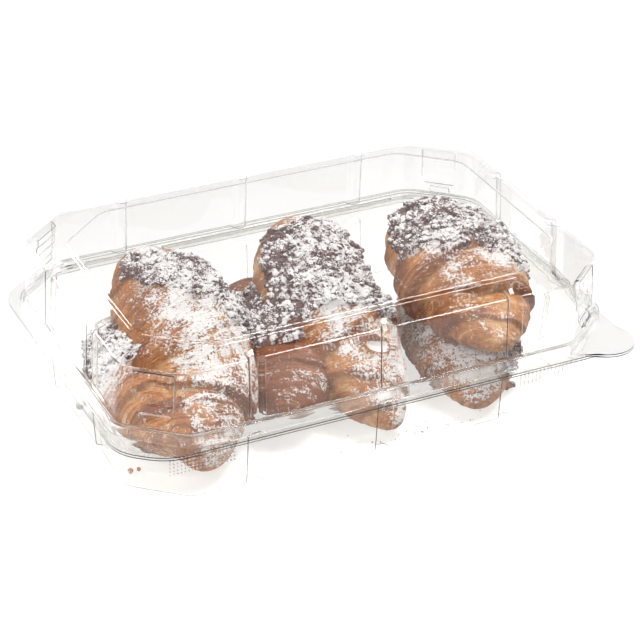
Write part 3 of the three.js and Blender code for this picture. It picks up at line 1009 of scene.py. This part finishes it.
baked = {}
for name, look in CROISSANTS.items():
    points, paint = bake(look)
    if name.startswith("bottom"):
        for other, upper in CROISSANTS.items():
            if other.startswith("top"):
                points = make_room(points, upper)
    points[..., 2] = np.maximum(points[..., 2], FLOOR_TOP)
    # The front wall presses the tips flat, but softly, so that they keep a round edge.
    points[..., 1] = FRONT_STOP + PRESS * np.logaddexp(0, (points[..., 1] - FRONT_STOP) / PRESS)
    croissant = skin_of("baked_" + name, points, paint, CRUST)
    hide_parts("croissant_" + name)
    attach(croissant, "tray")
    baked[name] = (points, paint)
    print(croissant.name, [round(v * 1000) for v in croissant.dimensions])

# %% [markdown]
# ## The crumb topping
#
# The topping is hundreds of crumbs, and on some croissants over a thousand. Modelling each would
# be endless and a texture would have a smooth outline, so Geometry Nodes strew one lumpy crumb
# over the part of the crust that is painted as topping. Each is turned and sized at random, from
# a fixed seed.

# %% One crumb
LUMPINESS = 0.42


def mesh_of(shape, name):
    """A mesh in metres from a shape in millimetres."""
    mesh = bpy.data.meshes.new(name)
    shape.to_mesh(mesh)
    shape.free()
    mesh.transform(Matrix.Scale(MM, 4))
    return mesh


def lump(name, seed):
    """A lumpy crumb about 2 mm across, with 24 faces."""
    shape = bmesh.new()
    bmesh.ops.create_cube(shape, size=2)
    bmesh.ops.subdivide_edges(shape, edges=shape.edges, cuts=1, use_grid_fill=True)
    for vert in shape.verts:
        bulge = noise.noise(vert.co * 1.1 + Vector((seed, 0, 0)))
        vert.co = vert.co.normalized() * (1 + LUMPINESS * bulge)
    return linked(name, mesh_of(shape, name))


CRUMB_SHAPE = lump("crumb shape", 4.2)
print("crumb shape:", len(CRUMB_SHAPE.data.polygons), "faces")

# %% Helpers for Geometry Nodes
def shape_tree(name, **inputs):
    """A Geometry Nodes tree with named inputs, and its input sockets."""
    tree = bpy.data.node_groups.new(name, "GeometryNodeTree")
    for label, kind in inputs.items():
        tree.interface.new_socket(label, in_out="INPUT", socket_type="NodeSocket" + kind)
    tree.interface.new_socket("Made", in_out="OUTPUT", socket_type="NodeSocketGeometry")
    return tree, tree.nodes.new("NodeGroupInput").outputs


def realized(tree, laid, material):
    """Ends a tree: the laid instances as real mesh, in one material."""
    real = add(tree, "GeometryNodeRealizeInstances", {"Geometry": laid.outputs[0]})
    coloured = add(tree, "GeometryNodeSetMaterial", {"Geometry": real.outputs[0], "Material": material})
    tree.links.new(coloured.outputs[0], tree.nodes.new("NodeGroupOutput").inputs["Made"])
    return tree


def grown(obj, tree, **values):
    """Runs a tree on obj, its inputs filled by name, and keeps the result as plain mesh."""
    modifier = obj.modifiers.new(tree.name, "NODES")
    modifier.node_group = tree
    for item in tree.interface.items_tree:
        if item.name in values:
            modifier[item.identifier] = values[item.name]
    return finished(obj)


print("tree helpers ready")

# %% The tree that strews crumbs
MOSTLY_SMALL = 2.2  # this power of the chance makes most crumbs small and a few large


def strewing_tree():
    """Geometry Nodes that strew a shape over the faces that carry the topping."""
    tree, given = shape_tree("strew crumbs", Bed="Geometry", Density="Float", Smallest="Float",
                             Largest="Float", Seed="Int", Crumb="Object", Material="Material")
    where = add(tree, "GeometryNodeInputNamedAttribute", {"Name": "topping"}, data_type="FLOAT")
    dense = maths(tree, "MULTIPLY", where.outputs[0], given["Density"])
    spread = add(tree, "GeometryNodeDistributePointsOnFaces",
                 {"Mesh": given["Bed"], "Density": dense, "Seed": given["Seed"]})
    chance = add(tree, "FunctionNodeRandomValue", {"Seed": given["Seed"]}, data_type="FLOAT")
    growth = maths(tree, "MULTIPLY", maths(tree, "POWER", chance.outputs[1], MOSTLY_SMALL),
                   maths(tree, "SUBTRACT", given["Largest"], given["Smallest"]))
    size = maths(tree, "ADD", growth, given["Smallest"])
    spin = add(tree, "FunctionNodeRandomValue", {1: (math.tau,) * 3, "Seed": given["Seed"]},
               data_type="FLOAT_VECTOR")
    shape = add(tree, "GeometryNodeObjectInfo", {"Object": given["Crumb"]})
    strewn = add(tree, "GeometryNodeInstanceOnPoints",
                 {"Points": spread.outputs["Points"], "Instance": shape.outputs["Geometry"],
                  "Rotation": spin.outputs[0], "Scale": size})
    return realized(tree, strewn, given["Material"])


STREW = strewing_tree()
print("tree:", STREW.name, "with", len(STREW.nodes), "nodes")

# %% Strew the toppings
CRUMB_SIZES = (0.4, 2.1)  # times the crumb shape's size
CRUMB_DENSITY = 2.4e5  # crumbs a square metre
BED_FROM = 0.35  # the bed is where the painted topping is over this


def bed_of(name, points, paint):
    """The part of the crust's grid that carries the topping, as a mesh of its own."""
    covered = paint["topping"] > BED_FROM
    number = np.full(covered.shape, -1)
    number[covered] = np.arange(covered.sum())
    faces = []
    for i in range(RINGS - 1):
        for j in range(SPOKES):
            k = (j + 1) % SPOKES
            quad = (number[i, j], number[i, k], number[i + 1, k], number[i + 1, j])
            if min(quad) >= 0:
                faces.append(tuple(int(v) for v in quad))
    bed = piece(name, points[covered], faces, CRUMB)
    lay_values(bed.data, "topping", paint["topping"][covered])
    return bed


for name, (points, paint) in baked.items():
    crumbs = bed_of("strewn_" + name, points, paint)
    grown(crumbs, STREW, Density=CRUMB_DENSITY, Smallest=CRUMB_SIZES[0], Largest=CRUMB_SIZES[1],
          Seed=CROISSANTS[name]["seed"], Crumb=CRUMB_SHAPE, Material=CRUMB)
    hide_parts("crumbs_" + name)
    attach(crumbs, "tray")
    print(crumbs.name, len(crumbs.data.polygons), "faces")

bpy.data.objects.remove(CRUMB_SHAPE)

# %% [markdown]
# ## What fell off
#
# Handled pastry sheds. A few crumbs, one sugared piece of crust and a fine scatter of specks lie
# on the tray's floor, most of them by the front wall. There are few enough to be made one by one.

# %% Fallen crumbs and flakes
FOOT_RING = BOX_WIDTH / 2 - 16.5  # past here the tray's floor is a step lower
STEP_TOP = 0.7
FLATTENED = 0.75  # fallen lumps are this share of their width high


def fallen(name, spots, material, seed):
    """Lumps that lie loose in the tray. spots are (x, y, spread, radius, count)."""
    draw = np.random.default_rng(seed)
    shape = bmesh.new()
    for x, y, spread, radius, count in spots:
        for _ in range(count):
            size = radius * draw.uniform(0.5, 1.2)
            at_x = x + spread * draw.normal()
            at_y = max(y + 0.3 * spread * draw.normal(), FRONT_STOP + size)
            floor = FLOOR_TOP if abs(at_y) < FOOT_RING else STEP_TOP
            place = Vector((at_x, at_y, floor + FLATTENED * size))
            made = bmesh.ops.create_icosphere(shape, subdivisions=2 if radius > 2 else 1, radius=size)
            for vert in made["verts"]:
                vert.co *= 1 + 0.4 * noise.noise(vert.co * 1.7 / size + place)
                vert.co.z *= FLATTENED
                vert.co += place
    mesh = mesh_of(shape, name)
    mesh.materials.append(material)
    mesh.shade_smooth()
    obj = linked(name, mesh)
    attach(obj, "tray")
    return obj


DARK_SPOTS = [(-127, 8, 1, 2.6, 2), (87, -66, 1.5, 2.6, 4), (30, -82, 16, 0.45, 34),
              (-20, -83, 22, 0.4, 16), (100, 20, 8, 0.6, 8)]
CRUST_SPOTS = [(85, -66, 0.5, 4.6, 1), (-122, -58, 1.5, 1.6, 3), (24, -82, 20, 0.5, 18),
               (-60, 80, 20, 0.7, 12)]
dark = fallen("fallen_crumbs", DARK_SPOTS, CRUMB, 7)
flakes = fallen("fallen_flakes", CRUST_SPOTS, CRUST, 8)
for label, value in dict(toast=0.55, fold_shade=0.0, topping=0.0, sugar=0.35, along=0.0).items():
    lay_values(flakes.data, label, np.full(len(flakes.data.vertices), value))
print(dark.name, "and", flakes.name, "lie in the tray")

# %% [markdown]
# ## Grip patches
#
# Just under the front lip the mould presses small beads into the wall, so that wet or sugary
# fingers can hold the box: a patch of dots on the left and a row of short ribs on the right. Both
# are rows of one bead, so one Geometry Nodes tree makes both, with other numbers.

# %% The tree that lays rows of beads
def bead_tree():
    """Geometry Nodes that lay one bead at each point of a flat grid."""
    tree, given = shape_tree("rows of beads", Length="Float", Height="Float", Columns="Int",
                             Rows="Int", Bead="Vector", Material="Material")
    rows = add(tree, "GeometryNodeMeshGrid",
               {"Size X": given["Length"], "Size Y": given["Height"],
                "Vertices X": given["Columns"], "Vertices Y": given["Rows"]})
    bead = add(tree, "GeometryNodeMeshIcoSphere", {"Radius": 1.0, "Subdivisions": 2})
    laid = add(tree, "GeometryNodeInstanceOnPoints",
               {"Points": rows.outputs["Mesh"], "Instance": bead.outputs["Mesh"],
                "Scale": given["Bead"]})
    return realized(tree, laid, given["Material"])


BEADS = bead_tree()
print("tree:", BEADS.name, "with", len(BEADS.nodes), "nodes")

# %% Lay both patches
GRIP_HEIGHT = 22  # middle of both patches, on the tray's front wall
GRIPS = {
    # name: middle along the box, length, height, columns, rows, bead's half sizes
    "grip_dots": (-100, 34, 8, 18, 5, (0.55, 0.55, 0.45)),
    "grip_ribs": (93, 30, 0, 14, 1, (0.5, 4.0, 0.45)),
}


def wall_reach(z):
    """How far the tray's wall stands from the shoulder line at height z."""
    (_, low_reach, low_z, *_), (_, top_reach, top_z, *_) = TRAY_STOPS[3:5]
    return low_reach + (top_reach - low_reach) * (z - low_z) / (top_z - low_z)


for name, (middle, length, height, columns, rows, bead) in GRIPS.items():
    grip = linked(name, bpy.data.meshes.new(name))
    grown(grip, BEADS, Length=length * MM, Height=height * MM, Columns=columns, Rows=rows,
          Bead=tuple(half * MM for half in bead), Material=PLASTIC)
    # The rows lie flat, so they are stood up and moved to the wall.
    wall = Vector((middle, -BOX_WIDTH / 2 - wall_reach(GRIP_HEIGHT), GRIP_HEIGHT)) * MM
    grip.data.transform(Matrix.Translation(wall) @ Matrix.Rotation(math.radians(90), 4, "X"))
    grip.data.shade_smooth()
    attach(grip, "tray")
    print(name, len(grip.data.polygons), "faces")

# %% [markdown]
# ## Light and floor
#
# Clear things are lit by what surrounds them. Against an all-white room their edges would
# vanish, so the sky is bright near the horizon and dark overhead, where the bends of the plastic
# pick it up as fine grey lines. Small soft boxes above, behind and to the left light the pastry
# and draw white lines along the plastic's rounded edges. The table glows a little, so that it
# stays white under the clear sheets.

# %% The sky
WHITE, SIDE_GREY, TOP_GREY = (1, 1, 1, 1), (0.4, 0.4, 0.39, 1), (0.07, 0.07, 0.07, 1)
WHITE_TO_SIDE, SIDE_TO_TOP = (0.02, 0.25), (0.54, 0.74)  # sines of the height above the horizon


def sky():
    """White at the horizon, grey at the sides and almost black overhead."""
    world = bpy.data.worlds.new("studio")
    bpy.context.scene.world = world
    world.use_nodes = True
    tree = world.node_tree
    tree.nodes.clear()
    place = add(tree, "ShaderNodeTexCoord").outputs["Generated"]
    up_part = add(tree, "ShaderNodeSeparateXYZ", {0: place}).outputs["Z"]
    sides = blended(tree, step_up(tree, up_part, *WHITE_TO_SIDE), WHITE, SIDE_GREY)
    colour = blended(tree, step_up(tree, up_part, *SIDE_TO_TOP), sides, TOP_GREY)
    light = add(tree, "ShaderNodeBackground", {"Color": colour, "Strength": 1.0})
    add(tree, "ShaderNodeOutputWorld", {"Surface": light.outputs[0]})


sky()
bpy.context.scene.view_settings.view_transform = "Standard"
print("sky ready")

# %% Soft boxes
AIM = Vector((0, 0, 0.03))  # all three look at this point inside the box
SOFT_BOXES = {
    # name: place and size in metres, power in watts
    "overhead": ((0.42, 0.0, 1.05), 0.32, 6.0),
    "back": ((-0.5, 1.0, 0.65), 0.3, 2.4),
    "left": ((-1.1, -0.25, 0.95), 0.6, 5.2),
}
for name, (place, size, power) in SOFT_BOXES.items():
    lamp = bpy.data.lights.new(name, "AREA")
    lamp.size, lamp.energy = size, power
    box = linked(name, lamp)
    box.location = place
    box.rotation_euler = (AIM - Vector(place)).to_track_quat("-Z", "Y").to_euler()
print("soft boxes:", ", ".join(SOFT_BOXES))

# %% The floor
FLOOR_TONES = (0.48, 0.48, 0.48, 1), (0.52, 0.52, 0.52, 1)
FLOOR_GLOW = 0.72
FLOOR_HALF, FLOOR_DROP = 8000, -0.3  # half its side, and its height, just under the tray


def floor_material():
    """A matt table top that glows a little."""
    material, tree = new_material("white table")
    colour = blended(tree, object_noise(tree, 6, detail=2), *FLOOR_TONES)
    surface = add(tree, "ShaderNodeBsdfPrincipled",
                  {"Base Color": colour, "Roughness": 0.8, "Specular IOR Level": 0.2,
                   "Emission Color": WHITE, "Emission Strength": FLOOR_GLOW})
    surfaced(tree, surface)
    return material


corners = [(x * FLOOR_HALF, y * FLOOR_HALF, FLOOR_DROP)
           for x, y in ((-1, -1), (1, -1), (1, 1), (-1, 1))]
table = piece("table", corners, [(0, 1, 2, 3)], floor_material(), smooth=False)
print("table ready")
